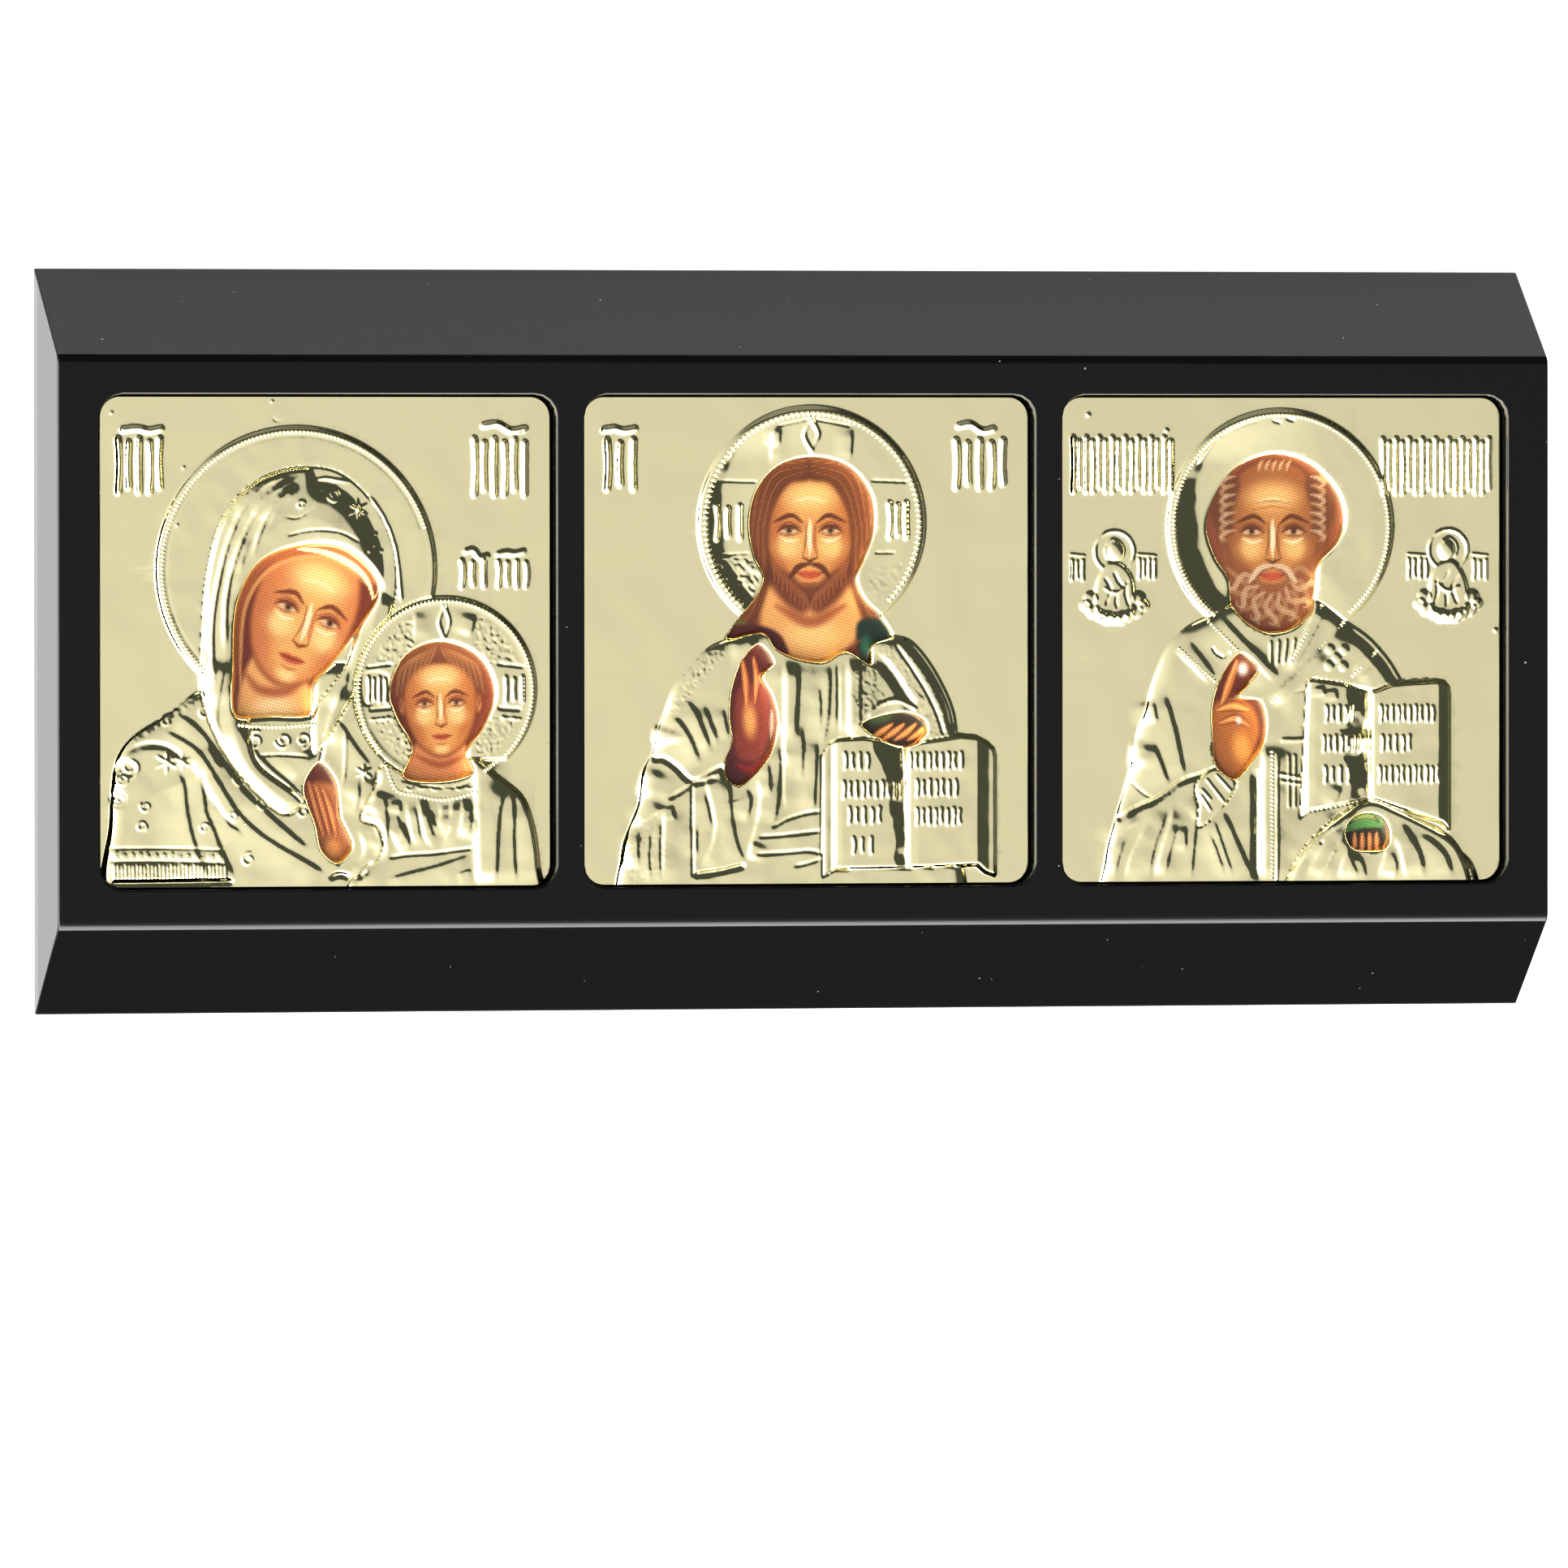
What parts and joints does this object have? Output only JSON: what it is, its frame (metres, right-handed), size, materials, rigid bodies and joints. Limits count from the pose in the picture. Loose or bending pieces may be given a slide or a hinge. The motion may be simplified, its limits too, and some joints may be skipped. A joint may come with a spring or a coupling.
{
  "type": "triptych icon",
  "caption": "Small black bar with bevelled long edges and a row of pockets, each with an embossed gold-toned icon plate over a printed card; sticks or rests on its flat back.",
  "frame": {"origin": "middle of the flat back, at the foot of the bounding box", "axes": "+X along the bar, +Y up the figures, +Z out of the pictures"},
  "size_m": [0.1076, 0.052, 0.0083],
  "materials": {
    "black_plastic": "polished black moulding",
    "gold_foil": "bright mirror-polished pale gold, embossed",
    "printed_card": "offset print on coated card"
  },
  "bodies": {
    "root": {"body": "black_plastic", "mother_and_child_plate": "gold_foil", "blessing_plate": "gold_foil", "bishop_plate": "gold_foil", "mother_and_child_print": "printed_card", "blessing_print": "printed_card", "bishop_print": "printed_card"}
  },
  "joints": []
}
